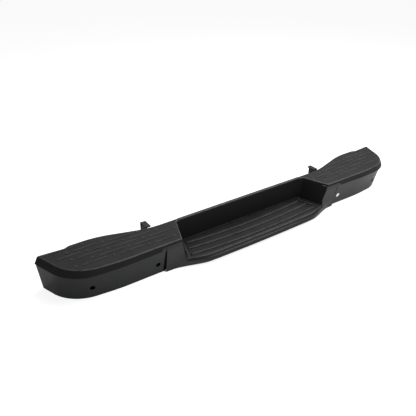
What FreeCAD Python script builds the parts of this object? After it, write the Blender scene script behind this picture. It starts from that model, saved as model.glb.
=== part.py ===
import FreeCAD, Part
import math
import os

# Rear step bumper, in millimetres: x runs along the bumper, y towards the vehicle, z up from the ground.
# While modelling, y = 0 is the front line of the upper treads. The finished solids are moved to the middle.

# Heights above the ground
tread_height = 156.0
floor_height = 36.0
lip_foot_height = 14.0
skirt_foot_height = 123.0
face_break_height = 120.0
flare_height = 78.0
sensor_height = 54.0

# Walls and clearances
steel = 2.5
plate = 3.0
bracket_plate = 6.0
pad_wall = 4.0
liner_wall = 3.0
seat_gap = 0.5
seam_gap = 1.5
face_proud = 1.5

# Corner faces: places of the front line and of the end, at the foot, at the break and under the pad
face_foot_y = 30.0
face_break_y = 1.5
face_foot_end = 960.0
face_break_end = 971.0
corner_radius = 167.0
ease_radius = 800.0
ease_x = 700.0
ease_angle = math.radians(6.0)
end_angle = math.radians(70.5)
return_flange = 16.0
gusset_x = 735.0
gusset_slope = 1.2

# Step pads: the skirt leans back from its foot to the tread
skirt_foot_y = -7.0
skirt_top_y = -3.0
skirt_foot_end = 974.0
skirt_top_end = 957.0
pad_round = 7.0
pad_corner = 8.0
shoulder_steps = 4
skirt_inner_x = 523.0
skirt_inner_foot = 129.0
skirt_taper_x = 850.0
skirt_corner = 14.0
pad_lip = 14.0
rear_flange = 12.0

# Rear edge of the pads
waist_y = 147.0
shoulder_y = 215.0
notch_y = 206.0
end_rear_y = 214.0
waist_x = 500.0
shoulder_x = 719.0
notch_in_x = 830.0
notch_out_x = 852.0
rear_round = 400.0

# Seams, step recess and lip
seam_x = 497.0
recess_front_x = 423.0
recess_back_x = 374.0
recess_back_y = 130.0
floor_front_x = 401.0
floor_back_x = 358.0
floor_back_y = 134.0
recess_round = 16.0
rim_end_x = 360.0
rim_round = 3.6
cheek_foot_y = 20.0
lip_y = -44.0
lip_bow = 4.0
lip_start_x = 490.0
lip_full_x = 285.0
lip_full_height = 18.0
lip_round = 60.0
sweep_steps = 8
flat_steps = 4
flare_steps = 6

# Tread pattern of the upper pads
ridge_height = 1.6
ridge_width = 7.0
ridge_length = 96.0
ridge_pitch = 150.0
row_pitch = 27.0
first_row_y = 34.0
first_ridge_x = 482.0
row_slope = 0.07
dot_radius = 6.5
tread_margin = 15.0

# Ribs and beads of the step floor
rib_count = 3
rib_first_y = 90.0
rib_pitch = 44.0
rib_sag = 20.0
rib_width = 13.0
rib_height = 5.0
rib_round = 3.6
rib_end_gap = 26.0
bead_width = 9.0
bead_height = 5.0
bead_gap = 12.0
bead_front_y = 8.0
bead_rear_gap = 16.0
edge_proud = 1.0

# Impact bar, brackets, braces and splices
bar_front_y = 145.0
bar_depth = 52.0
bar_low_z = 45.0
bar_high_z = 115.0
flange_top_z = 90.0
flange_half_length = 330.0
bracket_x = 508.0
bracket_tab = 23.0
bracket_foot = 62.0
bracket_rear_y = 212.0
bracket_gap = 3.0
bracket_tab_y = 158.0
frame_bolt_spacing = 34.0
frame_hole_radius = 6.5
frame_hole_spacing = 60.0
frame_hole_setback = 11.0
brace_plate = 4.0
brace_height = 44.0
brace_gap = 22.0
brace_foot = 70.0
brace_bend = 24.0
brace_bolt_spacing = 35.0
brace_end_y = 190.0
splice_wall = 3.0
splice_inner_x = 472.0
splice_outer_x = 516.0
splice_depth = 66.0
splice_low_z = 4.0
splice_high_z = 116.0

# Sensor holes
sensor_radius = 11.5
inner_sensor_x = 532.0
corner_sensor_x = 817.0

# Fasteners: shank radius, across flats, head height, nut height
frame_bolt = (6.0, 18.0, 7.5, 10.0)
brace_bolt = (5.0, 16.0, 6.4, 8.0)
bar_bolt = (4.0, 13.0, 5.3, 6.5)
bolt_clearance = 0.5
nut_clearance = 0.2
bolt_tail = 3.0
bar_bolt_xs = (-280.0, -95.0, 95.0, 280.0)
pad_studs = ((455.0, 62.0), (560.0, 70.0), (660.0, 95.0), (760.0, 120.0), (870.0, 130.0))
floor_stud_x = 260.0
floor_stud_ys = (10.0, 105.0)
stud_radius = 4.0
stud_length = 18.0
stud_hole_radius = 4.6
push_nut_radius = 10.0
push_nut_thickness = 1.2

# Places that follow from the sizes above
steel_top = tread_height - pad_wall
pad_lip_foot = tread_height - pad_lip
shelf_top = floor_height - liner_wall
rear_inset = pad_wall + seat_gap
bar_rear_y = bar_front_y + bar_depth
bar_middle_z = (bar_low_z + bar_high_z) / 2
bar_half_length = bracket_x + brace_gap + brace_foot
overall_front_y = lip_y - edge_proud
middle_y = (overall_front_y + shoulder_y) / 2
close = 0.1

V = FreeCAD.Vector


def level(z):
    """Place plan points at one height."""
    return lambda x, y: V(x, y, z)


def upright(y):
    """Place front-view points at one depth."""
    return lambda x, z: V(x, y, z)


def sideways(x):
    """Place side-view points at one place along the bumper."""
    return lambda y, z: V(x, y, z)


def rounded_path(points, place):
    """Edges through the points, where a third number is the radius of that corner."""
    spots = [place(p[0], p[1]) for p in points]
    edges = []
    start = spots[0]
    for before, corner, after, point in zip(spots, spots[1:], spots[2:], points[1:]):
        radius = point[2] if len(point) > 2 else 0.0
        if radius == 0.0:
            edges.append(Part.LineSegment(start, corner).toShape())
            start = corner
            continue
        inward = (corner - before).normalize()
        outward = (after - corner).normalize()
        half_turn = inward.getAngle(outward) / 2
        reach = radius * math.tan(half_turn)
        first = corner - inward * reach
        last = corner + outward * reach
        middle = corner + (outward - inward).normalize() * (radius / math.cos(half_turn) - radius)
        edges.append(Part.LineSegment(start, first).toShape())
        edges.append(Part.Arc(first, middle, last).toShape())
        start = last
    edges.append(Part.LineSegment(start, spots[-1]).toShape())
    return edges


def closed_wire(points, place):
    """Closed outline whose first point is a sharp corner."""
    return Part.Wire(rounded_path(list(points) + [points[0][:2]], place))


def prism(points, place, along):
    """Solid of one flat outline pushed along a vector."""
    return Part.Face(closed_wire(points, place)).extrude(along)


def box(low, high):
    """Block between two corners."""
    return Part.makeBox(high[0] - low[0], high[1] - low[1], high[2] - low[2], V(*low))


def slab(low, high):
    """Block that is wider and deeper than the bumper, between two heights."""
    reach = 2 * skirt_foot_end
    return box((-reach, -reach, low), (reach, reach, high))


def mirrored(shape):
    """The same piece for the other side of the bumper."""
    return shape.mirror(V(0, 0, 0), V(1, 0, 0))


def blend(low, high, share):
    """Value part of the way from low to high."""
    return low + (high - low) * share


def face_place(z):
    """Front line and end of the painted corner face at one height."""
    if z <= face_break_height:
        share = z / face_break_height
        return blend(face_foot_y, face_break_y, share), blend(face_foot_end, face_break_end, share)
    share = (z - face_break_height) / (steel_top - face_break_height)
    top_y, top_end = skirt_place(steel_top)
    top_y += pad_wall + seat_gap
    top_end -= pad_wall + seat_gap
    return blend(face_break_y, top_y, share), blend(face_break_end, top_end, share)


def skirt_place(z):
    """Front line and end of the pad's skirt at one height."""
    share = (z - skirt_foot_height) / (tread_height - skirt_foot_height)
    return blend(skirt_foot_y, skirt_top_y, share), blend(skirt_foot_end, skirt_top_end, share)


def corner_points(front_y, end_x, inset, rear_y):
    """Front line, easing curve, corner and end of one corner, set in by an inset."""
    front = front_y + inset
    end = end_x - inset
    lean = 1 / math.tan(end_angle)
    rise = math.tan(ease_angle)
    turn_y = (front + rise * (end - lean * rear_y - ease_x)) / (1 - rise * lean)
    turn_x = end - (rear_y - turn_y) * lean
    corner = (turn_x, turn_y, corner_radius - inset)
    return [(ease_x, front, ease_radius - inset), corner, (end, rear_y)]


def rear_points(inset):
    """Rear edge from the end to the waist."""
    return [(notch_out_x, notch_y - inset), (notch_in_x, shoulder_y - inset),
            (shoulder_x, shoulder_y - inset, rear_round), (waist_x, waist_y - inset, rear_round)]


def recess_side(y):
    """Half width of the recess at tread level."""
    return blend(recess_front_x, recess_back_x, y / recess_back_y)


def face_section(z, inset, rear):
    """Outline of a corner at one height, from well inside the seam: open-backed ones run on past the rear."""
    front_y, end_x = face_place(z)
    inner_x = waist_x - rear_round / 2
    front = corner_points(front_y, end_x, inset, end_rear_y - rear_inset)
    if rear:
        back = rear_points(rear_inset) + [(inner_x, waist_y - rear_inset)]
    else:
        back = [(front[-1][0], 2 * shoulder_y), (inner_x, 2 * shoulder_y)]
    return closed_wire([(inner_x, front_y + inset)] + front + back, level(z))


def face_block(inset, rear):
    """Filled form of a corner, leaning back to its foot."""
    heights = (0.0, face_break_height, steel_top)
    return Part.makeLoft([face_section(z, inset, rear) for z in heights], True, True)


def sensor_hole(x):
    """Punch for one sensor hole, square to the face in plan and in lean."""
    front_y, end_x = face_place(sensor_height)
    outline = [(seam_x, front_y)] + corner_points(front_y, end_x, 0.0, end_rear_y)
    wall = Part.Wire(rounded_path(outline, level(sensor_height)))
    line = Part.makeLine(V(x, -end_rear_y, sensor_height), V(x, end_rear_y, sensor_height))
    crossing = wall.distToShape(line)
    spot = crossing[1][0][0]
    tangent = wall.Edges[crossing[2][0][1]].tangentAt(crossing[2][0][2])
    lean = math.atan2(face_foot_y - face_break_y, face_break_height)
    outward = V(tangent.y, -tangent.x, 0).normalize() * math.cos(lean) - V(0, 0, math.sin(lean))
    return Part.makeCylinder(sensor_radius, 8 * steel, spot + outward * (4 * steel), outward * -1)


def stud_holes():
    """Holes for the studs through the steel tops."""
    return [Part.makeCylinder(stud_hole_radius, 2 * stud_length, V(x, y, steel_top - stud_length))
            for x, y in pad_studs]


def shell_inside(inset):
    """Space behind the corner face, at a depth below its outside."""
    space = face_block(inset, False)
    space.translate(V(0, 0, -steel))
    return space


def corner_gusset():
    """Block over the corner, where the foot flange widens into a gusset with a slanted edge."""
    outer_x = 2 * skirt_foot_end
    edge = [(gusset_x, 0), (outer_x, 0), (outer_x, gusset_slope * (outer_x - gusset_x))]
    return prism(edge, level(-steel), V(0, 0, 4 * steel))


def corner_shell():
    """Right corner: leaning face, rounded end, top plate, foot flange and two sensor holes."""
    filled = face_block(0.0, True)
    foot = filled.common(slab(0, steel)).cut(face_block(return_flange, False).cut(corner_gusset()))
    middle = box((0, -shoulder_y, 0), (seam_x + seam_gap / 2, 2 * shoulder_y, tread_height))
    holes = [sensor_hole(inner_sensor_x), sensor_hole(corner_sensor_x)] + stud_holes()
    return filled.cut(shell_inside(steel)).fuse(foot).cut([middle] + holes).removeSplitter()


def pad_section(z, inset):
    """Closed outline of the right pad at one height."""
    front_y, end_x = skirt_place(z)
    front = front_y + inset
    rim = (rim_end_x, waist_y - inset)
    inner = [(rim_end_x, recess_back_y + inset),
             (recess_back_x + inset, recess_back_y + inset, recess_round),
             (recess_side(front) + inset, front, pad_corner - inset)]
    points = [rim] + inner + corner_points(front_y, end_x, inset, end_rear_y - inset) + rear_points(inset)
    return closed_wire(points, level(z))


def pad_block():
    """Filled form of the right pad, with a rounded shoulder."""
    sections = [pad_section(skirt_foot_height, 0.0)]
    for k in range(shoulder_steps + 1):
        angle = k / shoulder_steps * math.pi / 2
        z = tread_height - pad_round * (1 - math.sin(angle))
        sections.append(pad_section(z, pad_round * (1 - math.cos(angle))))
    return Part.makeLoft(sections, True, True)


def stadium(x0, x1, y, width, z):
    """Flat outline of a ridge with round ends."""
    half = width / 2
    top = Part.LineSegment(V(x1, y + half, z), V(x0, y + half, z)).toShape()
    left = Part.Arc(V(x0, y + half, z), V(x0 - half, y, z), V(x0, y - half, z)).toShape()
    foot = Part.LineSegment(V(x0, y - half, z), V(x1, y - half, z)).toShape()
    right = Part.Arc(V(x1, y - half, z), V(x1 + half, y, z), V(x1, y + half, z)).toShape()
    return Part.Face(Part.Wire([top, left, foot, right]))


def tread_field():
    """Part of the tread that the pattern may cover."""
    front_y, end_x = skirt_place(tread_height)
    front = front_y + tread_margin
    back = waist_y - tread_margin
    inner = [(recess_side(back) + tread_margin, back), (recess_side(front) + tread_margin, front)]
    outer = corner_points(front_y, end_x, tread_margin, end_rear_y - tread_margin) + rear_points(tread_margin)
    return Part.Face(closed_wire(inner + outer, level(tread_height)))


def tread_pattern():
    """Ridges along the bumper in staggered rows, with a dot in each gap."""
    field = tread_field()
    marks = []
    root = tread_height - ridge_height
    rows = int((shoulder_y - first_row_y) / row_pitch) + 1
    columns = int((skirt_foot_end - first_ridge_x) / ridge_pitch) + 2
    for row in range(rows):
        shift = (row % 2) * ridge_pitch / 2
        for column in range(-1, columns):
            middle = first_ridge_x + shift + column * ridge_pitch
            y = first_row_y + row * row_pitch + row_slope * (middle - first_ridge_x)
            ends = (middle - ridge_length / 2, middle + ridge_length / 2)
            if all(field.isInside(V(x, y, tread_height), close, True) for x in ends):
                ridge = stadium(ends[0], ends[1], y, ridge_width, root)
                marks.append(ridge.extrude(V(0, 0, 2 * ridge_height)))
            dot_x = middle + ridge_pitch / 2
            dot_y = y + row_slope * ridge_pitch / 2
            if field.isInside(V(dot_x, dot_y, tread_height), close, True):
                marks.append(Part.makeCylinder(dot_radius, 2 * ridge_height, V(dot_x, dot_y, root)))
    return marks


def step_pad():
    """Right pad: tread plate with ridges and dots, leaning skirt, rear flange and studs."""
    heights = (skirt_foot_height - pad_wall, steel_top)
    hollow = Part.makeLoft([pad_section(z, pad_wall) for z in heights], True, True)
    lip = [(0, 0), (skirt_taper_x, 0), (skirt_taper_x, skirt_foot_height), (skirt_inner_x, skirt_inner_foot),
           (skirt_inner_x, pad_lip_foot, skirt_corner), (0, pad_lip_foot)]
    lip_cut = prism(lip, upright(-2 * skirt_corner), V(0, 2 * shoulder_y, 0))
    rear_end_x = notch_out_x + corner_radius / 2
    rear_cut = box((0, recess_back_y - pad_wall, 0), (rear_end_x, 2 * shoulder_y, tread_height - rear_flange))
    studs = [Part.makeCylinder(stud_radius, stud_length, V(x, y, steel_top - stud_length + pad_wall / 2))
             for x, y in pad_studs]
    shell = pad_block().cut([hollow, lip_cut, rear_cut])
    return shell.multiFuse(studs + tread_pattern()).removeSplitter()


def lip_share(x):
    """How far the lip has come forward at one place, from 0 at the seam to 1 in the middle."""
    share = (lip_start_x - abs(x)) / (lip_start_x - lip_full_x)
    share = min(max(share, 0.0), 1.0)
    return share * share * (3 - 2 * share)


def flare(z):
    """How much of the lip is left at one height: all of it at its foot and none above the flare."""
    share = min(max((flare_height - z) / (flare_height - lip_full_height), 0.0), 1.0)
    return share * share * (3 - 2 * share)


def cheek_place(z):
    """Front line of the cheeks at one height: proud of the corners, and steeper below."""
    proud = min(1.0, (steel_top - z) / (steel_top - face_break_height)) * face_proud
    if z >= face_break_height:
        return face_place(z)[0] - proud
    return blend(cheek_foot_y, face_break_y, z / face_break_height) - proud


def lip_front(x):
    """Front of the full lip, bowed back towards its ends."""
    return lip_y + lip_bow * (x / lip_full_x) ** 2


def lip_stations():
    """Places along the bar where its front line is fixed: close together where the lip sweeps out."""
    sweep = [blend(lip_start_x, lip_full_x, k / sweep_steps) for k in range(sweep_steps + 1)]
    flat = [blend(lip_full_x, 0.0, k / flat_steps) for k in range(1, flat_steps)]
    right = [seam_x - seam_gap / 2] + sweep + flat
    return [-x for x in right] + [0.0] + right[::-1]


def centre_section(z, shift, rear_y):
    """Closed outline of the centre bar at one height, moved towards the vehicle by a shift."""
    cheek_y = cheek_place(z)
    line = [V(x, blend(cheek_y, lip_front(x), lip_share(x) * flare(z)) + shift, z) for x in lip_stations()]
    half = line[-1].x
    curve = Part.BSplineCurve()
    curve.interpolate(line)
    corners = [line[-1], V(half, rear_y, z), V(-half, rear_y, z), line[0]]
    edges = [Part.LineSegment(a, b).toShape() for a, b in zip(corners, corners[1:])]
    return Part.Wire([curve.toShape()] + edges)


def centre_block(shift, rear_y, low, high):
    """Filled form of the centre bar: leaning cheeks that sweep out into the lip."""
    steps = [blend(lip_full_height, flare_height, k / flare_steps) for k in range(flare_steps + 1)]
    heights = [low] + steps + [face_break_height, high]
    return Part.makeLoft([centre_section(z, shift, rear_y) for z in heights], True, True)


def recess_section(z, grow, front_y):
    """Closed outline of the step recess at one height, grown by a wall and open to the front."""
    share = (z - floor_height) / (tread_height - floor_height)
    front_x = blend(floor_front_x, recess_front_x, share) + grow
    back_x = blend(floor_back_x, recess_back_x, share) + grow
    back_y = blend(floor_back_y, recess_back_y, share) + grow
    open_x = front_x + (front_x - back_x) * -front_y / back_y
    points = [(-open_x, front_y), (open_x, front_y),
              (back_x, back_y, recess_round), (-back_x, back_y, recess_round)]
    return closed_wire(points, level(z))


def recess_block(grow, low, high):
    """Filled form of the step recess between two heights."""
    front_y = 4 * lip_y
    return Part.makeLoft([recess_section(z, grow, front_y) for z in (low, high)], True, True)


def centre_face_bar():
    """Centre bar: leaning cheeks, bowed lip, shelf, pad supports and the flange for the impact bar."""
    top_y = waist_y - rear_inset
    filled = centre_block(0.0, bar_front_y, 0.0, steel_top)
    hollow = centre_block(steel, 2 * bar_front_y, 0.0, steel_top)
    shelf_foot = shelf_top - steel
    shelf_zone = box((-floor_front_x, 2 * lip_y, shelf_foot), (floor_front_x, bar_front_y, shelf_top))
    shelf = filled.common(shelf_zone)
    top = filled.common(box((-seam_x, 2 * lip_y, steel_top - steel), (seam_x, top_y, steel_top)))
    back = box((-flange_half_length, bar_front_y - steel, shelf_foot),
               (flange_half_length, bar_front_y, flange_top_z))
    recess = recess_block(liner_wall + seat_gap, shelf_top, 2 * tread_height)
    pad_room = recess_block(liner_wall + pad_wall + seat_gap, pad_lip_foot - seat_gap, 2 * tread_height)
    rise = [(-seam_x, -lip_foot_height), (seam_x, -lip_foot_height),
            (lip_start_x, 0.0, lip_round), (lip_full_x, lip_foot_height, lip_round),
            (-lip_full_x, lip_foot_height, lip_round), (-lip_start_x, 0.0, lip_round)]
    under = prism(rise, upright(2 * lip_y), V(0, -4 * lip_y, 0))
    bar = filled.cut(hollow).multiFuse([shelf, top])
    bar = bar.cut([recess, pad_room, under]).fuse(back)
    bolts = [bolt_hole(x, bar_middle_z, bar_bolt, bar_front_y - 2 * steel, 4 * steel) for x in bar_bolt_xs]
    left_holes = [mirrored(hole) for hole in stud_holes()]
    return bar.cut(bolts + stud_holes() + left_holes + floor_holes()).removeSplitter()


def floor_stud_spots():
    """Places of the moulded studs under the step floor."""
    return [(side * floor_stud_x, y) for side in (-1, 1) for y in floor_stud_ys]


def floor_holes():
    """Holes for the studs through the shelf."""
    return [Part.makeCylinder(stud_hole_radius, floor_height, V(x, y, 0)) for x, y in floor_stud_spots()]


def bowed_rib(y, half_length):
    """One floor rib, bowed towards the front in the middle, with a rounded top edge."""
    half = rib_width / 2
    z = floor_height - liner_wall / 2
    edges = []
    for side in (-1, 1):
        start, middle, end = V(-half_length, y + rib_sag, z), V(0, y, z), V(half_length, y + rib_sag, z)
        edges.append(Part.Arc(*[spot + V(0, side * half, 0) for spot in (start, middle, end)]).toShape())
        end_x = side * half_length
        edges.append(Part.makeLine(V(end_x, y + rib_sag - half, z), V(end_x, y + rib_sag + half, z)))
    rib = Part.Face(Part.Wire(Part.sortEdges(edges)[0])).extrude(V(0, 0, rib_height + liner_wall / 2))
    top = [e for e in rib.Edges if min(v.Z for v in e.Vertexes) > floor_height]
    return rib.makeFillet(rib_round, top)


def straight_rib(start, end):
    """One floor bead between two places, with round ends and a rounded top edge."""
    along = end - start
    rib = stadium(0, along.Length, 0, bead_width, floor_height - liner_wall / 2)
    rib = rib.extrude(V(0, 0, bead_height + liner_wall / 2))
    top = [e for e in rib.Edges if min(v.Z for v in e.Vertexes) > floor_height]
    rib = rib.makeFillet(rib_round, top)
    rib.rotate(V(0, 0, 0), V(0, 0, 1), math.degrees(math.atan2(along.y, along.x)))
    rib.translate(start)
    return rib


def floor_side(y):
    """Half width of the step floor."""
    return blend(floor_front_x, floor_back_x, y / floor_back_y)


def rim_profile():
    """Rounded rim over the top of the back wall, with a flange down its rear."""
    low = pad_lip_foot - 2 * seat_gap
    wall_rear = recess_back_y + liner_wall
    flange_y = waist_y - pad_wall
    outline = [(recess_back_y, low), (recess_back_y, tread_height, rim_round),
               (waist_y, tread_height, rim_round), (waist_y, tread_height - rear_flange),
               (flange_y, tread_height - rear_flange),
               (flange_y, steel_top), (wall_rear, steel_top), (wall_rear, low)]
    half = rim_end_x - seat_gap
    return prism(outline, sideways(-half), V(2 * half, 0, 0))


def centre_step_pad():
    """Step liner: floor with bowed ribs and beads, side walls, back wall and rim."""
    root = floor_height - liner_wall / 2
    high = 2 * tread_height
    front = centre_block(-edge_proud, 2 * bar_front_y, 0.0, steel_top)
    inner_front = centre_block(0.0, 2 * bar_front_y, 0.0, steel_top)
    tub = recess_block(liner_wall, shelf_top, tread_height).cut(recess_block(0.0, floor_height, high))
    low = tub.common(front).common(slab(0, pad_lip_foot - seat_gap))
    ribs = []
    for k in range(rib_count):
        y = rib_first_y - k * rib_pitch
        ribs.append(bowed_rib(y, floor_side(y + rib_sag) - rib_end_gap))
    bead_ends = [V(floor_side(y) - bead_gap, y, 0) for y in (bead_front_y, floor_back_y - bead_rear_gap)]
    bead = straight_rib(*bead_ends)
    nose = inner_front.cut(centre_block(bead_width, 4 * bar_front_y, 0.0, steel_top))
    nose = nose.common(recess_block(liner_wall / 2, root, high)).common(slab(root, floor_height + rib_height))
    studs = [Part.makeCylinder(stud_radius, stud_length, V(x, y, shelf_top - stud_length + liner_wall / 2))
             for x, y in floor_stud_spots()]
    return low.multiFuse([rim_profile(), nose, bead, mirrored(bead)] + ribs + studs)


def impact_bar():
    """Steel channel behind the back wall, open towards the vehicle."""
    bar = box((-bar_half_length, bar_front_y, bar_low_z), (bar_half_length, bar_rear_y, bar_high_z))
    front_edges = [e for e in bar.Edges if e.BoundBox.YMax < bar_front_y + close]
    bar = bar.makeFillet(2 * plate, [e for e in front_edges if e.Length > bar_half_length])
    inside = box((-2 * bar_half_length, bar_front_y + plate, bar_low_z + plate),
                 (2 * bar_half_length, 2 * bar_rear_y, bar_high_z - plate))
    front_edges = [e for e in inside.Edges if e.BoundBox.YMax < bar_rear_y]
    inside = inside.makeFillet(plate, [e for e in front_edges if e.Length > bar_half_length])
    spots = [(x, bar_middle_z, bar_bolt) for x in bar_bolt_xs]
    spots += [(x, z, frame_bolt) for x, z in both_sides(frame_bolt_spots())]
    spots += [(x, z, brace_bolt) for x, z in both_sides(brace_bolt_spots())]
    holes = [bolt_hole(x, z, bolt, bar_front_y - plate, 4 * plate) for x, z, bolt in spots]
    return bar.cut([inside] + holes)


def frame_bolt_spots():
    """Places of the bolts through a frame bracket's foot."""
    x = bracket_x - bracket_plate - bracket_foot / 2
    return [(x, bar_middle_z + side * frame_bolt_spacing / 2) for side in (-1, 1)]


def brace_bolt_spots():
    """Places of the bolts through a corner brace's foot."""
    x = bar_half_length - brace_foot / 2
    return [(x + side * brace_bolt_spacing / 2, bar_middle_z) for side in (-1, 1)]


def bolt_hole(x, z, bolt, y, length):
    """Clearance hole for one bolt along y."""
    return Part.makeCylinder(bolt[0] + bolt_clearance, length, V(x, y, z), V(0, 1, 0))


def frame_bracket():
    """Right frame bracket: foot in the channel, web with two frame bolt holes and the tab at tread height."""
    foot_y = bar_front_y + plate
    web_x = bracket_x - bracket_plate
    foot_high = bar_high_z - plate - bracket_gap
    foot_low = bar_low_z + plate + bracket_gap
    outline = [(foot_y, foot_low), (bracket_rear_y - bracket_tab, foot_low, bracket_tab / 2),
               (bracket_rear_y, foot_low + bracket_tab, bracket_tab / 2),
               (bracket_rear_y, tread_height, bracket_plate), (bracket_tab_y, tread_height),
               (bracket_tab_y, bar_high_z + bracket_gap),
               (bar_rear_y + bracket_gap, bar_high_z + bracket_gap), (bar_rear_y + bracket_gap, foot_high),
               (foot_y, foot_high)]
    web = prism(outline, sideways(web_x), V(bracket_plate, 0, 0))
    tab = box((bracket_x - bracket_tab, bracket_tab_y, tread_height - bracket_plate),
              (bracket_x, bracket_rear_y - bracket_plate, tread_height))
    foot = box((bracket_x - bracket_foot, foot_y, foot_low), (bracket_x, foot_y + bracket_plate, foot_high))
    holes = [bolt_hole(x, z, frame_bolt, foot_y - plate, 4 * bracket_plate) for x, z in frame_bolt_spots()]
    hole_y = bracket_rear_y - frame_hole_setback
    hole_z = (foot_low + bracket_tab + tread_height) / 2
    for side in (-1, 1):
        spot = V(web_x - bracket_plate, hole_y, hole_z + side * frame_hole_spacing / 2)
        holes.append(Part.makeCylinder(frame_hole_radius, 3 * bracket_plate, spot, V(1, 0, 0)))
    return web.multiFuse([tab, foot]).cut(holes).removeSplitter()


def corner_brace():
    """Right corner brace: bent strap from the channel to the end wall of the corner shell."""
    foot_y = bar_front_y + plate
    path = [(bar_half_length - brace_foot, foot_y), (bar_half_length, foot_y, brace_bend),
            (face_break_end + brace_foot, brace_end_y)]
    near = rounded_path(path, level(0))
    far = [edge.translated(V(0, brace_plate, 0)) for edge in near]
    ends = [Part.makeLine(near[k].Vertexes[k].Point, far[k].Vertexes[k].Point) for k in (0, -1)]
    strap = Part.Face(Part.Wire(Part.sortEdges(near + far + ends)[0])).extrude(V(0, 0, brace_height))
    strap.translate(V(0, 0, bar_middle_z - brace_height / 2))
    holes = [bolt_hole(x, z, brace_bolt, foot_y - plate, 4 * brace_plate) for x, z in brace_bolt_spots()]
    return strap.common(shell_inside(steel)).cut(holes)


def splice_plate():
    """Right splice: angle plate behind the seam, one leg on the faces and one turned back."""
    zone = box((splice_inner_x, -splice_depth, splice_low_z), (splice_outer_x, splice_depth, splice_high_z))
    flat = shell_inside(steel).cut(shell_inside(steel + splice_wall)).common(zone)
    leg_x = splice_outer_x - splice_wall
    leg = box((leg_x, -splice_depth, splice_low_z), (splice_outer_x, splice_depth, splice_high_z))
    return flat.fuse(leg.common(shell_inside(steel))).removeSplitter()


def hexagon(across, length, spot):
    """Six-sided prism along y."""
    radius = across / math.sqrt(3)
    turns = [k * math.pi / 3 for k in range(7)]
    corners = [spot + V(radius * math.sin(turn), 0, radius * math.cos(turn)) for turn in turns]
    return Part.Face(Part.makePolygon(corners)).extrude(V(0, length, 0))


def bolt_and_nut(x, z, bolt, head_y, grip):
    """One bolt with its head towards the front, and its nut at the far side of the grip."""
    radius, across, head, nut = bolt
    length = grip + nut + bolt_tail
    body = hexagon(across, head, V(x, head_y - head, z))
    body = body.fuse(Part.makeCylinder(radius, length, V(x, head_y, z), V(0, 1, 0)))
    ring = hexagon(across, nut, V(x, head_y + grip, z))
    ring = ring.cut(Part.makeCylinder(radius + nut_clearance, 2 * length, V(x, head_y, z), V(0, 1, 0)))
    return body, ring


def bolt_group(spots, bolt, head_y, grip):
    """All bolts and all nuts of one kind, as two groups."""
    pairs = [bolt_and_nut(x, z, bolt, head_y, grip) for x, z in spots]
    return [Part.makeCompound(group) for group in zip(*pairs)]


def both_sides(spots):
    """Places on the right and their mirror images."""
    return [(side * x, z) for side in (-1, 1) for x, z in spots]


def push_nuts():
    """Spring nuts on all studs, under the steel."""
    top = steel_top - steel
    places = [(side * x, y, top) for side in (-1, 1) for x, y in pad_studs]
    places += [(x, y, shelf_top - steel) for x, y in floor_stud_spots()]
    rings = []
    for x, y, z in places:
        spot = V(x, y, z - push_nut_thickness)
        ring = Part.makeCylinder(push_nut_radius, push_nut_thickness, spot)
        rings.append(ring.cut(Part.makeCylinder(stud_radius + nut_clearance, push_nut_thickness, spot)))
    return Part.makeCompound(rings)


pieces = {}


def add(name, shape):
    """Keep one finished piece under its node name, moved to the middle of the bumper."""
    shape.translate(V(0, -middle_y, 0))
    pieces[name] = shape


def add_pair(name, shape):
    """Keep a right-hand piece and its mirror image."""
    add(name + "_left", mirrored(shape))
    add(name + "_right", shape)


def add_bolts(name, spots, bolt, head_y, grip):
    """Keep the bolts and the nuts of one kind."""
    bolts, nuts = bolt_group(spots, bolt, head_y, grip)
    add(name + "_bolts", bolts)
    add(name + "_nuts", nuts)


add_pair("corner_shell", corner_shell())
add_pair("step_pad", step_pad())
add("centre_face_bar", centre_face_bar())
add("centre_step_pad", centre_step_pad())
add("impact_bar", impact_bar())
add_pair("frame_bracket", frame_bracket())
add_pair("corner_brace", corner_brace())
add_pair("splice_plate", splice_plate())
add_bolts("frame", both_sides(frame_bolt_spots()), frame_bolt, bar_front_y, plate + bracket_plate)
add_bolts("brace", both_sides(brace_bolt_spots()), brace_bolt, bar_front_y, plate + brace_plate)
add_bolts("bar", [(x, bar_middle_z) for x in bar_bolt_xs], bar_bolt, bar_front_y - steel, steel + plate)
add("push_nuts", push_nuts())

os.makedirs("parts", exist_ok=True)
for name, shape in pieces.items():
    shape.exportStep("parts/" + name + ".step")
    print(name, shape.isValid(), len(shape.Solids), round(shape.Volume))
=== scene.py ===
# %% [markdown]
# A rear step bumper, dressed over its construction model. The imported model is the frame: every plate, pad
# and bolt already sits where it belongs, in metres, with x along the bumper, y towards the vehicle and z
# up. Loading comes first, because the finishes are hung on the loaded pieces by name.

# %% Load the frame
import math

import bmesh
import bpy
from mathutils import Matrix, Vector


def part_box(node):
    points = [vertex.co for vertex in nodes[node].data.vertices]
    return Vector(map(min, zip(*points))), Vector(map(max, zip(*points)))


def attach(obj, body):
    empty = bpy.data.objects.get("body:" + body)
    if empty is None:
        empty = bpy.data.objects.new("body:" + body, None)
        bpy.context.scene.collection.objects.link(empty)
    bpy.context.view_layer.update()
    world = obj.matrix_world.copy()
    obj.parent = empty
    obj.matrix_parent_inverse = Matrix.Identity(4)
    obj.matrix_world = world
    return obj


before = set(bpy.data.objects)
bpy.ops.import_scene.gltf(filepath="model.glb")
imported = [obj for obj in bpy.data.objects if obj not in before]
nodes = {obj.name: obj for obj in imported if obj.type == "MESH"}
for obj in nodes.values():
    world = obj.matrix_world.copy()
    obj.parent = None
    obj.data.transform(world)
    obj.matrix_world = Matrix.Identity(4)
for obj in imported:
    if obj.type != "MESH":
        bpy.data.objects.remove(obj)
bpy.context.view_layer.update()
scene = bpy.context.scene
bpy.ops.object.select_all(action="DESELECT")

# %% [markdown]
# The camera stands behind the vehicle's left corner and looks down at the bumper, so its left end comes out
# near and its right end far. A longer lens would flatten that. The place was found by matching the corners
# of the treads with the photograph, and the lens follows from how fast the far end shrinks.

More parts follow.
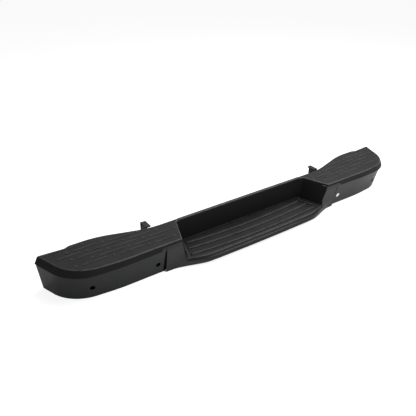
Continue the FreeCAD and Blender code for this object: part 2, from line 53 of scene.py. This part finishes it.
# %% Camera
SENSOR_WIDTH = 36.0
LENS = 43.32
CAMERA_PLACE = (-1.307, -1.565, 1.303)
LOOK_DOWN = math.radians(30.27)
LOOK_RIGHT = math.radians(34.37)
camera_data = bpy.data.cameras.new("photo_camera")
camera_data.sensor_width = SENSOR_WIDTH
camera_data.lens = LENS
camera = bpy.data.objects.new("photo_camera", camera_data)
camera.location = CAMERA_PLACE
camera.rotation_euler = (math.radians(90) - LOOK_DOWN, 0, -LOOK_RIGHT)
scene.collection.objects.link(camera)
scene.camera = camera
print("camera at", CAMERA_PLACE, "with a lens of", LENS, "mm")

# %% [markdown]
# Dark plastic and dark paint show their form only through what they reflect. The photograph has a white
# ground with hardly a shadow, and yet the upright skirts are almost black: the white was bright for the
# camera and dim for the bumper. The Light Path node gives the same here. A ray from the camera finds a pale
# floor and a pale backdrop, and every other ray finds them at a lower strength, so they light the uprights
# only a little.


# %% Strength by kind of ray
def camera_strength(tree, seen, lit):
    path = tree.nodes.new("ShaderNodeLightPath")
    strength = tree.nodes.new("ShaderNodeMapRange")
    strength.inputs["To Min"].default_value = lit
    strength.inputs["To Max"].default_value = seen
    tree.links.new(path.outputs["Is Camera Ray"], strength.inputs["Value"])
    print("strength", seen, "for the camera and", lit, "for other rays")
    return strength


# %% [markdown]
# The floor is one large matt plane, like a roll of studio paper, and the bumper's foot stands on it.

# %% Pale floor
SEEN_FLOOR = 0.85
LIT_FLOOR = 0.26
FLOOR_SIZE = 24
FLOOR_GREY = 0.42
FLOOR_ROUGH = 0.9
FLOOR_GLOSS = 0.1
bpy.ops.mesh.primitive_plane_add(size=FLOOR_SIZE, location=(0, 0, 0))
floor = bpy.context.active_object
floor.name = "studio_floor"
floor_paint = bpy.data.materials.new("floor_paint")
floor_paint.use_nodes = True
floor_tree = floor_paint.node_tree
floor_shader = floor_tree.nodes["Principled BSDF"]
floor_shader.inputs["Base Color"].default_value = (FLOOR_GREY, FLOOR_GREY, FLOOR_GREY, 1)
floor_shader.inputs["Roughness"].default_value = FLOOR_ROUGH
floor_shader.inputs["Specular IOR Level"].default_value = FLOOR_GLOSS
floor_shader.inputs["Emission Color"].default_value = (1, 1, 1, 1)
floor_strength = camera_strength(floor_tree, SEEN_FLOOR, LIT_FLOOR)
floor_tree.links.new(floor_strength.outputs["Result"], floor_shader.inputs["Emission Strength"])
floor.data.materials.append(floor_paint)
print("floor", floor.name)

# %% [markdown]
# Towards the near end of the bumper the light that the floor gives off fades, as behind a dark flag in a
# studio, because the near corner in the photograph is darker than the far one. Two floors would show a
# joint, so the strength of the one material fades along x instead.

# %% Fade of the floor's light
FADE_NEAR = -1.05
FADE_FAR = -0.1
NEAR_SHARE = 0.40
floor_axes = floor_tree.nodes.new("ShaderNodeSeparateXYZ")
floor_place = floor_tree.nodes.new("ShaderNodeTexCoord")
floor_tree.links.new(floor_place.outputs["Object"], floor_axes.inputs[0])
floor_fade = floor_tree.nodes.new("ShaderNodeMapRange")
floor_fade.inputs["From Min"].default_value = FADE_NEAR
floor_fade.inputs["From Max"].default_value = FADE_FAR
floor_fade.inputs["To Min"].default_value = NEAR_SHARE * LIT_FLOOR
floor_fade.inputs["To Max"].default_value = LIT_FLOOR
floor_tree.links.new(floor_axes.outputs["X"], floor_fade.inputs["Value"])
floor_tree.links.new(floor_fade.outputs["Result"], floor_strength.inputs["To Min"])
print("floor light fades from x", FADE_FAR, "to", FADE_NEAR)

# %% [markdown]
# Behind the floor there is only an even white sky, as a paper backdrop would be. The Standard view
# transform keeps the white and the dark greys as they are set, where a film-like one would grey the white.

# %% Backdrop
SEEN_SKY = 1.0
LIT_SKY = 0.22
world = bpy.data.worlds.new("studio_sky")
scene.world = world
world.use_nodes = True
sky = world.node_tree.nodes["Background"]
sky.inputs["Color"].default_value = (1, 1, 1, 1)
sky_strength = camera_strength(world.node_tree, SEEN_SKY, LIT_SKY)
world.node_tree.links.new(sky_strength.outputs["Result"], sky.inputs["Strength"])
scene.view_settings.view_transform = "Standard"
print("sky", world.name)

# %% [markdown]
# The main light is one wide panel above the bumper and towards its far end. The treads and the step face it
# and come out as dark grey, and what stands upright falls off to black. A weak panel at the back lets the
# channel, brackets and bolts be seen from behind.


# %% Light panels
def light_panel(name, place, target, size, power):
    data = bpy.data.lights.new(name, "AREA")
    data.shape = "RECTANGLE"
    data.size, data.size_y = size
    data.energy = power
    panel = bpy.data.objects.new(name, data)
    panel.location = place
    panel.rotation_euler = (Vector(target) - Vector(place)).to_track_quat("-Z", "Y").to_euler()
    scene.collection.objects.link(panel)
    print(name, "at", place)


light_panel("top_panel", place=(1.0, -0.1, 2.3), target=(0.3, 0, 0), size=(2.8, 2.2), power=95)
light_panel("back_panel", place=(-0.3, 2.6, 1.3), target=(0, 0.1, 0.05), size=(3.0, 0.9), power=7)

# %% [markdown]
# Several finishes share the same small effects, so each effect is a node group that is built once and
# placed in each material with its own values. These helpers make a group with named sockets, a node with
# its values set, a sum or product, and a soft step between two values.


# %% Helpers for node groups
def new_group(name, inputs, outputs):
    group = bpy.data.node_groups.new(name, "ShaderNodeTree")
    for socket, value in inputs.items():
        made = group.interface.new_socket(socket, in_out="INPUT", socket_type="NodeSocketFloat")
        made.default_value = value
    for socket in outputs:
        group.interface.new_socket(socket, in_out="OUTPUT", socket_type="NodeSocketFloat")
    start = group.nodes.new("NodeGroupInput")
    end = group.nodes.new("NodeGroupOutput")
    print("group", name)
    return group, start, end


def add_node(tree, kind, **values):
    made = tree.nodes.new(kind)
    for key, value in values.items():
        if key in made.inputs:
            made.inputs[key].default_value = value
        else:
            setattr(made, key, value)
    return made


def math_node(tree, operation, first, second):
    made = tree.nodes.new("ShaderNodeMath")
    made.operation = operation
    for socket, value in zip(made.inputs, (first, second)):
        if isinstance(value, (int, float)):
            socket.default_value = value
        else:
            tree.links.new(value, socket)
    return made.outputs[0]


def ramp_node(tree, source, low, high):
    made = tree.nodes.new("ShaderNodeMapRange")
    made.interpolation_type = "SMOOTHSTEP"
    made.inputs["From Min"].default_value = low
    made.inputs["From Max"].default_value = high
    tree.links.new(source, made.inputs["Value"])
    return made.outputs["Result"]


def object_place(tree):
    return tree.nodes.new("ShaderNodeTexCoord").outputs["Object"]


def normal_axes(tree):
    axes = add_node(tree, "ShaderNodeSeparateXYZ")
    tree.links.new(add_node(tree, "ShaderNodeNewGeometry").outputs["Normal"], axes.inputs[0])
    return axes


# %% [markdown]
# The first effect is moulded grain: the leathery skin that a textured mould leaves on plastic. Cells alone
# look too even, so a noise is added to them. The group puts out a height for the bump, and a slow, blotchy
# tone that shifts the colour and the roughness a little.

# %% Moulded grain
NOISE_SHARE = 0.4
grain, grain_in, grain_out = new_group("moulded_grain", {"Cell Scale": 700.0}, ["Height", "Tone"])
grain_place = object_place(grain)
cells = add_node(grain, "ShaderNodeTexVoronoi", feature="F1")
blotch = add_node(grain, "ShaderNodeTexNoise", Scale=9.0, Detail=4.0, Roughness=0.6)
fine = add_node(grain, "ShaderNodeTexNoise", Detail=2.0)
for made in (cells, blotch, fine):
    grain.links.new(grain_place, made.inputs["Vector"])
fine_scale = math_node(grain, "MULTIPLY", grain_in.outputs["Cell Scale"], NOISE_SHARE)
grain.links.new(grain_in.outputs["Cell Scale"], cells.inputs["Scale"])
grain.links.new(fine_scale, fine.inputs["Scale"])
grain_height = math_node(grain, "ADD", cells.outputs["Distance"], fine.outputs["Fac"])
grain.links.new(grain_height, grain_out.inputs["Height"])
grain.links.new(blotch.outputs["Fac"], grain_out.inputs["Tone"])

# %% [markdown]
# Dust settles where a surface faces up, and it lies in patches. The group reads the surface normal for the
# first and a large, soft noise for the second, and puts out one mask.

# %% Settled dust
FACING_UP = (0.3, 1.0)
DUST_PATCHES = (0.35, 0.75)
dust, dust_in, dust_out = new_group("settled_dust", {"Amount": 0.3}, ["Mask"])
dust_noise = add_node(dust, "ShaderNodeTexNoise", Scale=14.0, Detail=6.0, Roughness=0.65)
dust.links.new(object_place(dust), dust_noise.inputs["Vector"])
facing_up = ramp_node(dust, normal_axes(dust).outputs["Z"], *FACING_UP)
patchy = ramp_node(dust, dust_noise.outputs["Fac"], *DUST_PATCHES)
dust_mask = math_node(dust, "MULTIPLY", facing_up, patchy)
dust_share = math_node(dust, "MULTIPLY", dust_mask, dust_in.outputs["Amount"])
dust.links.new(dust_share, dust_out.inputs["Mask"])

# %% [markdown]
# The ridges and dots of a tread are made lighter than the plate between them. On their tops this is
# wear. On their flanks, which lie in shade, it is painted light. The plate's height is known, so this part
# of the mask is a band of height above it, and the flat tops get less of it than the flanks.

# %% Painted light and wear on ridges
TREAD_HEIGHT = 0.156
RIDGE_FOOT = (0.0001, 0.0005)
RIDGE_END = (0.0055, 0.0065)
FLAT_NORMAL = (0.8, 0.99)
FLAT_SPARED = 0.78
highlight_wear_inputs = {"Level": TREAD_HEIGHT, "Rim": TREAD_HEIGHT, "Flat Rim": 0.0}
highlight_wear, highlight_wear_in, highlight_wear_out = new_group("highlight_wear_ridges", highlight_wear_inputs, ["Mask"])
highlight_wear_place = object_place(highlight_wear)
highlight_wear_axes = add_node(highlight_wear, "ShaderNodeSeparateXYZ")
highlight_wear.links.new(highlight_wear_place, highlight_wear_axes.inputs[0])
highlight_wear_up = normal_axes(highlight_wear).outputs["Z"]
flat_top = ramp_node(highlight_wear, highlight_wear_up, *FLAT_NORMAL)
above = math_node(highlight_wear, "SUBTRACT", highlight_wear_axes.outputs["Z"], highlight_wear_in.outputs["Level"])
raised = ramp_node(highlight_wear, above, *RIDGE_FOOT)
past_ridge = ramp_node(highlight_wear, above, *RIDGE_END)
# Flanks get the full mask: painted light on the side of each ridge that lies in shade.
flank = math_node(highlight_wear, "SUBTRACT", 1.0, math_node(highlight_wear, "MULTIPLY", flat_top, FLAT_SPARED))
ridge_band = math_node(highlight_wear, "SUBTRACT", raised, past_ridge)
ridge = math_node(highlight_wear, "MULTIPLY", ridge_band, flank)

# %% [markdown]
# The rounded rim of a tread gets a pale line too, a painted highlight. It is found by its normals, which
# turn from up to level within a narrow band of height. On the step the flat top of the rim gets the painted
# highlight as well, so the group has an input for that. A noise then breaks up both the ridges and the rim,
# so the painted light and the wear lie in patches.

# %% Painted highlight on rims
RIM_BAND = (-0.0045, -0.0025)
TURNED_NORMAL = (0.25, 0.6)
RIM_HIGHLIGHT_SHARE = 0.8
WEAR_PATCHES = (0.1, 0.6)
near_rim = math_node(highlight_wear, "SUBTRACT", highlight_wear_axes.outputs["Z"], highlight_wear_in.outputs["Rim"])
rim_band = ramp_node(highlight_wear, near_rim, *RIM_BAND)
not_flat_rim = math_node(highlight_wear, "SUBTRACT", 1.0, highlight_wear_in.outputs["Flat Rim"])
rim_flat = math_node(highlight_wear, "MULTIPLY", flat_top, not_flat_rim)
turned = math_node(highlight_wear, "SUBTRACT", ramp_node(highlight_wear, highlight_wear_up, *TURNED_NORMAL), rim_flat)
# Painted highlight along the rounded rim of each tread and of the step.
edge = math_node(highlight_wear, "MULTIPLY", rim_band, math_node(highlight_wear, "MULTIPLY", turned, RIM_HIGHLIGHT_SHARE))
highlight_wear_noise = add_node(highlight_wear, "ShaderNodeTexNoise", Scale=35.0, Detail=5.0, Roughness=0.6)
highlight_wear.links.new(highlight_wear_place, highlight_wear_noise.inputs["Vector"])
uneven = ramp_node(highlight_wear, highlight_wear_noise.outputs["Fac"], *WEAR_PATCHES)
high_spots = math_node(highlight_wear, "MAXIMUM", ridge, edge)
highlight_wear.links.new(math_node(highlight_wear, "MULTIPLY", high_spots, uneven), highlight_wear_out.inputs["Mask"])
print("wear mask of", len(highlight_wear.nodes), "nodes")

# %% [markdown]
# Each finish is a small material that ends in one Principled shader. Its colour runs between a dark and a
# light tone, dust lies over that, and painted light with some wear lies over the dust where the finish has a
# level for it. The roughness follows the same blotches as the colour. Gloss is one number for the whole
# finish, so it is set on the shader itself.

# %% Finish builder
DUST_COLOUR = (0.12, 0.118, 0.112, 1)
HIGHLIGHT_WEAR_TIMES = 5.0
RELIEF_DEPTH = 0.0004
TONE_BAND = (0.2, 0.8)


def mix_colours(tree, factor, under, over):
    mixed = add_node(tree, "ShaderNodeMix", data_type="RGBA")
    tree.links.new(factor, mixed.inputs["Factor"])
    for socket, value in (("A", under), ("B", over)):
        if isinstance(value, tuple):
            mixed.inputs[socket].default_value = value
        else:
            tree.links.new(value, mixed.inputs[socket])
    return mixed.outputs["Result"]


def new_finish(name, dark, light, rough, cell_scale, bump, dust_amount, gloss, highlight_wear_level=None, flat_rim_highlight=0.0):
    material = bpy.data.materials.new(name)
    material.use_nodes = True
    tree = material.node_tree
    shader = tree.nodes["Principled BSDF"]
    skin = add_node(tree, "ShaderNodeGroup", node_tree=grain)
    skin.inputs["Cell Scale"].default_value = cell_scale
    settled = add_node(tree, "ShaderNodeGroup", node_tree=dust)
    settled.inputs["Amount"].default_value = dust_amount
    colour = mix_colours(tree, skin.outputs["Tone"], (*dark, 1), (*light, 1))
    colour = mix_colours(tree, settled.outputs["Mask"], colour, DUST_COLOUR)
    if highlight_wear_level is not None:
        highlight_wear_node = add_node(tree, "ShaderNodeGroup", node_tree=highlight_wear)
        highlight_wear_node.inputs["Level"].default_value = highlight_wear_level
        highlight_wear_node.inputs["Flat Rim"].default_value = flat_rim_highlight
        # The lighter colour is painted highlight and painted light, with some wear, on ridges and rims.
        highlight_wear_colour = (*[HIGHLIGHT_WEAR_TIMES * c for c in light], 1)
        colour = mix_colours(tree, highlight_wear_node.outputs["Mask"], colour, highlight_wear_colour)
    tree.links.new(colour, shader.inputs["Base Color"])
    shader.inputs["Specular IOR Level"].default_value = gloss
    patches = ramp_node(tree, skin.outputs["Tone"], *TONE_BAND)
    span = math_node(tree, "MULTIPLY", patches, rough[1] - rough[0])
    tree.links.new(math_node(tree, "ADD", span, rough[0]), shader.inputs["Roughness"])
    relief = add_node(tree, "ShaderNodeBump", Strength=bump, Distance=RELIEF_DEPTH)
    tree.links.new(skin.outputs["Height"], relief.inputs["Height"])
    tree.links.new(relief.outputs["Normal"], shader.inputs["Normal"])
    print("finish", name)
    return material


# %% [markdown]
# A loaded piece keeps its mesh and its place. Only its material is changed, and the piece is found by its
# name, so that the finish lands on the right piece whatever the order of loading.


# %% Dress a loaded piece
def dress(names, material):
    for name in names:
        piece = nodes[name]
        piece.data.materials.clear()
        piece.data.materials.append(material)
    print(material.name, "on", len(names), "pieces")


# %% [markdown]
# They hardly shine, so the
# gloss is low and the roughness high, and the greys come from light that falls on them from above. Both
# carry the painted highlight and wear on their ridges and rims. The step's plastic is painted darker than
# the treads', as painted shade for its place deep between its walls.

# %% Treads and step
STEP_HEIGHT = 0.0385
tread_plastic = new_finish("tread_plastic", dark=(0.0195, 0.0195, 0.0197), light=(0.024, 0.024, 0.0242),
                           rough=(0.52, 0.58), cell_scale=600, bump=0.3, dust_amount=0.06, gloss=0.14,
                           highlight_wear_level=TREAD_HEIGHT)
# Darker than the tread plastic: painted shade of the recess.
step_plastic = new_finish("step_plastic", dark=(0.0135, 0.0135, 0.0137), light=(0.0165, 0.0165, 0.0167),
                          rough=(0.54, 0.58), cell_scale=500, bump=0.3, dust_amount=0.05, gloss=0.14,
                          highlight_wear_level=STEP_HEIGHT, flat_rim_highlight=1.0)
dress(["step_pad_left", "step_pad_right"], tread_plastic)
dress(["centre_step_pad"], step_plastic)

# %% [markdown]
# The pressed steel in front is painted black with a little blue in it. Paint is smoother than plastic and
# mirrors the floor before it softly, so it gets more gloss, less roughness and hardly any relief.

# %% Painted steel
face_paint = new_finish("face_paint", dark=(0.0085, 0.0098, 0.0125), light=(0.0105, 0.0118, 0.015),
                        rough=(0.32, 0.36), cell_scale=260, bump=0.04, dust_amount=0.04, gloss=0.6)
dress(["corner_shell_left", "corner_shell_right", "centre_face_bar"], face_paint)

# %% [markdown]
# The steel behind is dipped in a dull black coat that keeps rust off, and road dust clings to it. Behind
# the sensor holes, where hardly any light gets in, a darker copy of the coat paints that shade, so the
# holes come out black.

# %% Coated steel
frame_coat = new_finish("frame_coat", dark=(0.011, 0.011, 0.0115), light=(0.018, 0.018, 0.0185),
                        rough=(0.5, 0.6), cell_scale=320, bump=0.15, dust_amount=0.12, gloss=0.3)
painted_shade_coat = new_finish("painted_shade_coat", dark=(0.003, 0.003, 0.0032), light=(0.005, 0.005, 0.0052),
                         rough=(0.7, 0.8), cell_scale=320, bump=0.1, dust_amount=0.02, gloss=0.08)
dress(["impact_bar", "frame_bracket_left", "frame_bracket_right", "corner_brace_left", "corner_brace_right"],
      frame_coat)
dress(["splice_plate_left", "splice_plate_right"], painted_shade_coat)

# %% [markdown]
# Bolts and nuts are plated with zinc, a pale metal that turns dull in patches. The rubber of the seals is
# the darkest finish of all and has almost no shine, and its near-black also paints the shade in the seams.

# %% Zinc and rubber
zinc = new_finish("zinc", dark=(0.42, 0.41, 0.39), light=(0.58, 0.57, 0.54),
                  rough=(0.3, 0.45), cell_scale=400, bump=0.1, dust_amount=0.1, gloss=0.5)
zinc.node_tree.nodes["Principled BSDF"].inputs["Metallic"].default_value = 1.0
seal_rubber_and_shade = new_finish("seal_rubber_and_shade", dark=(0.003, 0.003, 0.003), light=(0.006, 0.006, 0.006),
                         rough=(0.75, 0.85), cell_scale=700, bump=0.2, dust_amount=0.03, gloss=0.05)
dress(["frame_bolts", "frame_nuts", "brace_bolts", "brace_nuts", "bar_bolts", "bar_nuts", "push_nuts"], zinc)

# %% [markdown]
# What is left is small and made by hand over the frame: plates that close the corners and the seams from
# inside, a seal in each seam, weld beads and screw threads. Each starts as a flat shape at its place and is
# shaped in edit mode, the way a fitter starts from sheet or strip. These helpers start a sheet, select
# edges and faces by place, cut and extrude.


# %% Helpers for modelling by hand
def make_active(piece):
    bpy.ops.object.select_all(action="DESELECT")
    piece.select_set(True)
    bpy.context.view_layer.objects.active = piece


def name_in_place(name):
    piece = bpy.context.active_object
    piece.name = name
    bpy.ops.object.transform_apply(location=True, rotation=True, scale=True)
    bpy.ops.object.mode_set(mode="EDIT")
    return piece


def start_sheet(name, low, high, height):
    bpy.ops.object.select_all(action="DESELECT")
    middle = ((low[0] + high[0]) / 2, (low[1] + high[1]) / 2, height)
    bpy.ops.mesh.primitive_plane_add(size=1, location=middle)
    bpy.context.active_object.scale = (high[0] - low[0], high[1] - low[1], 1)
    return name_in_place(name)


def start_disc(name, corners, radius, place, turn=(0, 0, 0)):
    bpy.ops.object.select_all(action="DESELECT")
    bpy.ops.mesh.primitive_circle_add(vertices=corners, radius=radius, fill_type="NGON", location=place,
                                      rotation=turn)
    piece = name_in_place(name)
    bpy.ops.mesh.select_mode(type="FACE")
    bpy.ops.mesh.select_all(action="SELECT")
    return piece


def select_by_place(piece, kind, test):
    bpy.ops.mesh.select_mode(type="EDGE" if kind == "edges" else "FACE")
    bpy.ops.mesh.select_all(action="DESELECT")
    mesh = bmesh.from_edit_mesh(piece.data)
    for item in getattr(mesh, kind):
        middle = sum((corner.co for corner in item.verts), Vector()) / len(item.verts)
        if test(middle):
            item.select_set(True)
    mesh.select_flush_mode()
    bmesh.update_edit_mesh(piece.data)


def cut_away(point, outward):
    bpy.ops.mesh.select_all(action="SELECT")
    bpy.ops.mesh.bisect(plane_co=point, plane_no=outward, clear_outer=True)


def extrude_by(step):
    bpy.ops.mesh.extrude_region_move(TRANSFORM_OT_translate={"value": step})


# %% [markdown]
# A piece is finished in the same few steps each time. Modifiers give a sheet its thickness and ease its
# edges. A copy has its own mesh, and a mirrored one would be inside out, so the normals are set right at
# the end, when the piece also gets its finish and is tied to the bumper.

# %% Helpers for finishing a piece
SHEET = 0.0025
SHEET_EASE = 0.0005
SAME_POINT = 0.00001
SMOOTH_ANGLE = math.radians(35)


def apply_modifier(piece, kind, **values):
    made = piece.modifiers.new(kind.lower(), kind)
    for key, value in values.items():
        setattr(made, key, value)
    bpy.ops.object.modifier_apply(modifier=made.name)


def ease_edges(piece, width):
    bpy.ops.object.mode_set(mode="OBJECT")
    apply_modifier(piece, "BEVEL", width=width, segments=2, limit_method="ANGLE")


def thicken_sheet(piece):
    bpy.ops.object.mode_set(mode="OBJECT")
    apply_modifier(piece, "SOLIDIFY", thickness=SHEET, offset=0, use_even_offset=True)
    ease_edges(piece, SHEET_EASE)


def copy_piece(piece, name, move=(0, 0, 0), mirrored=False):
    make_active(piece)
    bpy.ops.object.duplicate(linked=False)
    twin = bpy.context.active_object
    twin.name = name
    twin.location = move
    twin.scale.x = -1 if mirrored else 1
    bpy.ops.object.transform_apply(location=True, rotation=True, scale=True)
    return twin


def settle(piece, material):
    make_active(piece)
    bpy.ops.object.mode_set(mode="EDIT")
    bpy.ops.mesh.select_all(action="SELECT")
    bpy.ops.mesh.remove_doubles(threshold=SAME_POINT)
    bpy.ops.mesh.normals_make_consistent(inside=False)
    bpy.ops.object.mode_set(mode="OBJECT")
    bpy.ops.object.shade_smooth_by_angle(angle=SMOOTH_ANGLE)
    piece.data.name = piece.name
    piece.data.materials.clear()
    piece.data.materials.append(material)
    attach(piece, "root")
    print(piece.name, "faces", len(piece.data.polygons))


def settle_pair(piece, material):
    twin = copy_piece(piece, piece.name.replace("left", "right"), mirrored=True)
    settle(twin, material)
    settle(piece, material)


# %% [markdown]
# A corner shell is open at the back, so its foot flange alone leaves a gap through which the ground shows.
# On a real bumper a folded gusset can close the inside of the corner and keep it square. It is a flat sheet
# here, trimmed along two slanted lines, with the inner edge turned up, and then given the thickness of the
# steel.

# %% Corner gussets
FLANGE_TOP = 0.0025
GUSSET_LOW = (-0.93, -0.040)
GUSSET_HIGH = (-0.69, 0.095)
GUSSET_LIP = 0.014
OUTER_POINT = Vector((-0.775, -0.040, 0))
OUTER_NORMAL = Vector((-0.115, -0.13, 0))
INNER_POINT = Vector((-0.70, -0.010, 0))
INNER_NORMAL = Vector((0.105, 0.16, 0)).normalized()
ON_LINE = 0.0005
gusset = start_sheet("corner_gusset_left", GUSSET_LOW, GUSSET_HIGH, FLANGE_TOP + SHEET / 2)
cut_away(OUTER_POINT, OUTER_NORMAL)
cut_away(INNER_POINT, INNER_NORMAL)
select_by_place(gusset, "edges", lambda m: abs((m - INNER_POINT).dot(INNER_NORMAL)) < ON_LINE)
extrude_by((0, 0, GUSSET_LIP))
thicken_sheet(gusset)
# Its near-black coat is painted shade: the corner seen through the sensor hole comes out dark.
settle_pair(gusset, painted_shade_coat)

# %% [markdown]
# Each splice plate stands behind a seam. A small foot plate under it ties the flanges of the two neighbours
# together at the bottom, where stones and water come from. It is made like the gusset: a sheet, two corners
# cut off, and the rear edge turned up.

# %% Splice foot plates
FOOT_OUT = -0.535
FOOT_FRONT = -0.0385
FOOT_REAR = 0.022
FOOT_CORNER = 0.012
FOOT_LIP = 0.010
splice_low, splice_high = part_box("splice_plate_left")
foot_height = splice_low[2] - SHEET / 2
foot = start_sheet("splice_foot_left", (FOOT_OUT, FOOT_FRONT), (splice_high[0], FOOT_REAR), foot_height)
cut_away((FOOT_OUT, FOOT_REAR - FOOT_CORNER, 0), (-1, 1, 0))
cut_away((splice_high[0], FOOT_REAR - FOOT_CORNER, 0), (1, 1, 0))
select_by_place(foot, "edges", lambda m: abs(m.y - FOOT_REAR) < ON_LINE)
extrude_by((0, 0, FOOT_LIP))
thicken_sheet(foot)
# Its near-black coat is painted shade as well, seen through the inner sensor hole.
settle_pair(foot, painted_shade_coat)

# %% [markdown]
# The seam between a corner shell and the centre bar shows as a black line: a rubber seal sits in it, and
# its near-black rubber paints the shade of the gap. Its section is an L: a cap on the shell's face and a
# stem in the gap. It is drawn flat as a strip, split at the shell's edge, and the stem is drawn back from
# the inner part.

# %% Section of the seam seal
NEAR = 0.0001
CAP_FOOT = 0.0078
CAP_EDGE_FOOT = -0.4998
SEAM_OUT = -0.4976
SEAM_IN = -0.4966
STEM_DEPTH = 0.007
FACE_FOOT = -0.055
FACE_TOP = -0.0835
BREAK_HEIGHT = 0.120
SEAL_LOW = 0.0002
lean = (FACE_TOP - FACE_FOOT) / BREAK_HEIGHT
front = FACE_FOOT + lean * SEAL_LOW
seal = start_sheet("seam_seal_left", (CAP_EDGE_FOOT, front - CAP_FOOT), (SEAM_IN, front), SEAL_LOW)
bpy.ops.mesh.select_all(action="SELECT")
bpy.ops.mesh.bisect(plane_co=(SEAM_OUT, 0, 0), plane_no=(1, 0, 0))
select_by_place(seal, "edges", lambda m: m.x > SEAM_OUT + NEAR and abs(m.y - front) < NEAR)
extrude_by((0, STEM_DEPTH, 0))
print("seal leans", round(math.degrees(math.atan(-lean)), 1), "degrees")

# %% [markdown]
# The section is then extruded up along the leaning face. The bar's face stands forward of the shell's at
# the foot and meets it at the top, so the cap is deep and narrow below and thin and broad above: two edges
# of the upper end are moved for that. The stem alone goes on up behind the tread's lip.

# %% Seam seals
SEAL_HIGH = 0.1185
STEM_HIGH = 0.1415
CAP_TOP = 0.0008
CAP_EDGE_TOP = -0.5022
RUBBER_EASE = 0.0002
bpy.ops.mesh.select_mode(type="FACE")
bpy.ops.mesh.select_all(action="SELECT")
extrude_by((0, lean * (SEAL_HIGH - SEAL_LOW), SEAL_HIGH - SEAL_LOW))
stem_front = FACE_FOOT + lean * SEAL_HIGH
on_top = SEAL_HIGH - NEAR
select_by_place(seal, "edges", lambda m: m.z > on_top and m.x < CAP_EDGE_FOOT + NEAR)
bpy.ops.transform.translate(value=(CAP_EDGE_TOP - CAP_EDGE_FOOT, 0, 0))
select_by_place(seal, "edges", lambda m: m.z > on_top and abs(m.y - stem_front + CAP_FOOT) < NEAR)
bpy.ops.transform.translate(value=(0, CAP_FOOT - CAP_TOP, 0))
select_by_place(seal, "faces", lambda m: m.z > on_top and m.y > stem_front + 10 * NEAR)
extrude_by((0, 0, STEM_HIGH - SEAL_HIGH))
ease_edges(seal, RUBBER_EASE)
settle_pair(seal, seal_rubber_and_shade)

# %% [markdown]
# The end of each corner brace is welded to the end wall. A weld bead is a row of small overlapping ripples.
# A disc is extruded upwards step by step along the corner, and every second ring is drawn in a little, so
# the ripples are real shapes and not only a pattern. The bead is modelled once and copied to the other
# corners.

# %% Weld beads
BEAD_RADIUS = 0.0022
BEAD_STEPS = 28
BEAD_CORNERS = 12
BEAD_DRAW = 0.84
BEAD_END = 0.7
FIRST_SWELL = 1.4
BEAD_FOOT = Vector((-0.9528, 0.1014, 0.0580))
BEAD_TOP = Vector((-0.9570, 0.1018, 0.1020))
TO_FRONT = (0.0014, -0.0056, 0)
bead_step = (BEAD_TOP - BEAD_FOOT) / BEAD_STEPS
swells = [BEAD_DRAW if ring % 2 else 1 / BEAD_DRAW for ring in range(BEAD_STEPS)]
swells[0] = FIRST_SWELL
swells[-1] = BEAD_END
bead = start_disc("brace_weld_left_rear", BEAD_CORNERS, BEAD_RADIUS * BEAD_END, BEAD_FOOT)
for ring, swell in enumerate(swells, 1):
    extrude_by(tuple(bead_step))
    ring_middle = tuple(BEAD_FOOT + bead_step * ring)
    bpy.ops.transform.resize(value=(swell, swell, 1), center_override=ring_middle)
bpy.ops.object.mode_set(mode="OBJECT")
front_bead = copy_piece(bead, "brace_weld_left_front", TO_FRONT)
for made in (bead, front_bead):
    settle_pair(made, frame_coat)

# %% [markdown]
# The bolts in the frame are plain shafts, and their tails stand out of the nuts. A screw thread is cut
# there. A sleeve with two or three crests stands for it: a disc round the shaft is extruded along it and
# drawn out and in by turns. One sleeve of each size is modelled at its first bolt and copied to the others.

# %% Thread sleeve
SLEEVE_GAP = 0.00005
CREST_RISE = 0.00045
TAIL_LENGTH = 0.0029
SLEEVE_CORNERS = 28


def thread_sleeve(name, radius, spot, crests):
    root = radius + SLEEVE_GAP
    piece = start_disc(name, SLEEVE_CORNERS, root, spot, turn=(math.radians(90), 0, 0))
    step = TAIL_LENGTH / (2 * crests)
    crest = (radius + CREST_RISE) / root
    for ring in range(2 * crests):
        extrude_by((0, step, 0))
        swell = crest if ring % 2 == 0 else 1 / crest
        middle = (spot[0], spot[1] + step * (ring + 1), spot[2])
        bpy.ops.transform.resize(value=(swell, 1, swell), center_override=middle)
    bpy.ops.object.mode_set(mode="OBJECT")
    return piece


def thread_set(name, nuts, radius, spots, crests):
    nut_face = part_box(nuts)[1][1]
    first_x, first_z = spots[0]
    made = [thread_sleeve(name + "_1", radius, (first_x, nut_face, first_z), crests)]
    for count, (x, z) in enumerate(spots[1:], 2):
        made.append(copy_piece(made[0], name + "_" + str(count), (x - first_x, 0, z - first_z)))
    for piece in made:
        settle(piece, zinc)


# %% [markdown]
# The bolts come in three sizes: thin ones between the centre bar and the channel, thicker ones through the
# braces and the thickest through the brackets that carry the bumper. Bar and brace bolts sit at mid height
# of the channel, and each bracket has one bolt above and one below that.

# %% Bolt threads
BAR_MIDDLE = 0.080
bar_spots = [(x, BAR_MIDDLE) for x in (-0.280, -0.095, 0.095, 0.280)]
brace_spots = [(x, BAR_MIDDLE) for x in (-0.5825, -0.5475, 0.5475, 0.5825)]
frame_spots = [(x, z) for x in (-0.471, 0.471) for z in (0.063, 0.097)]
thread_set("bar_thread", "bar_nuts", radius=0.004, spots=bar_spots, crests=3)
thread_set("brace_thread", "brace_nuts", radius=0.005, spots=brace_spots, crests=2)
thread_set("frame_thread", "frame_nuts", radius=0.006, spots=frame_spots, crests=2)
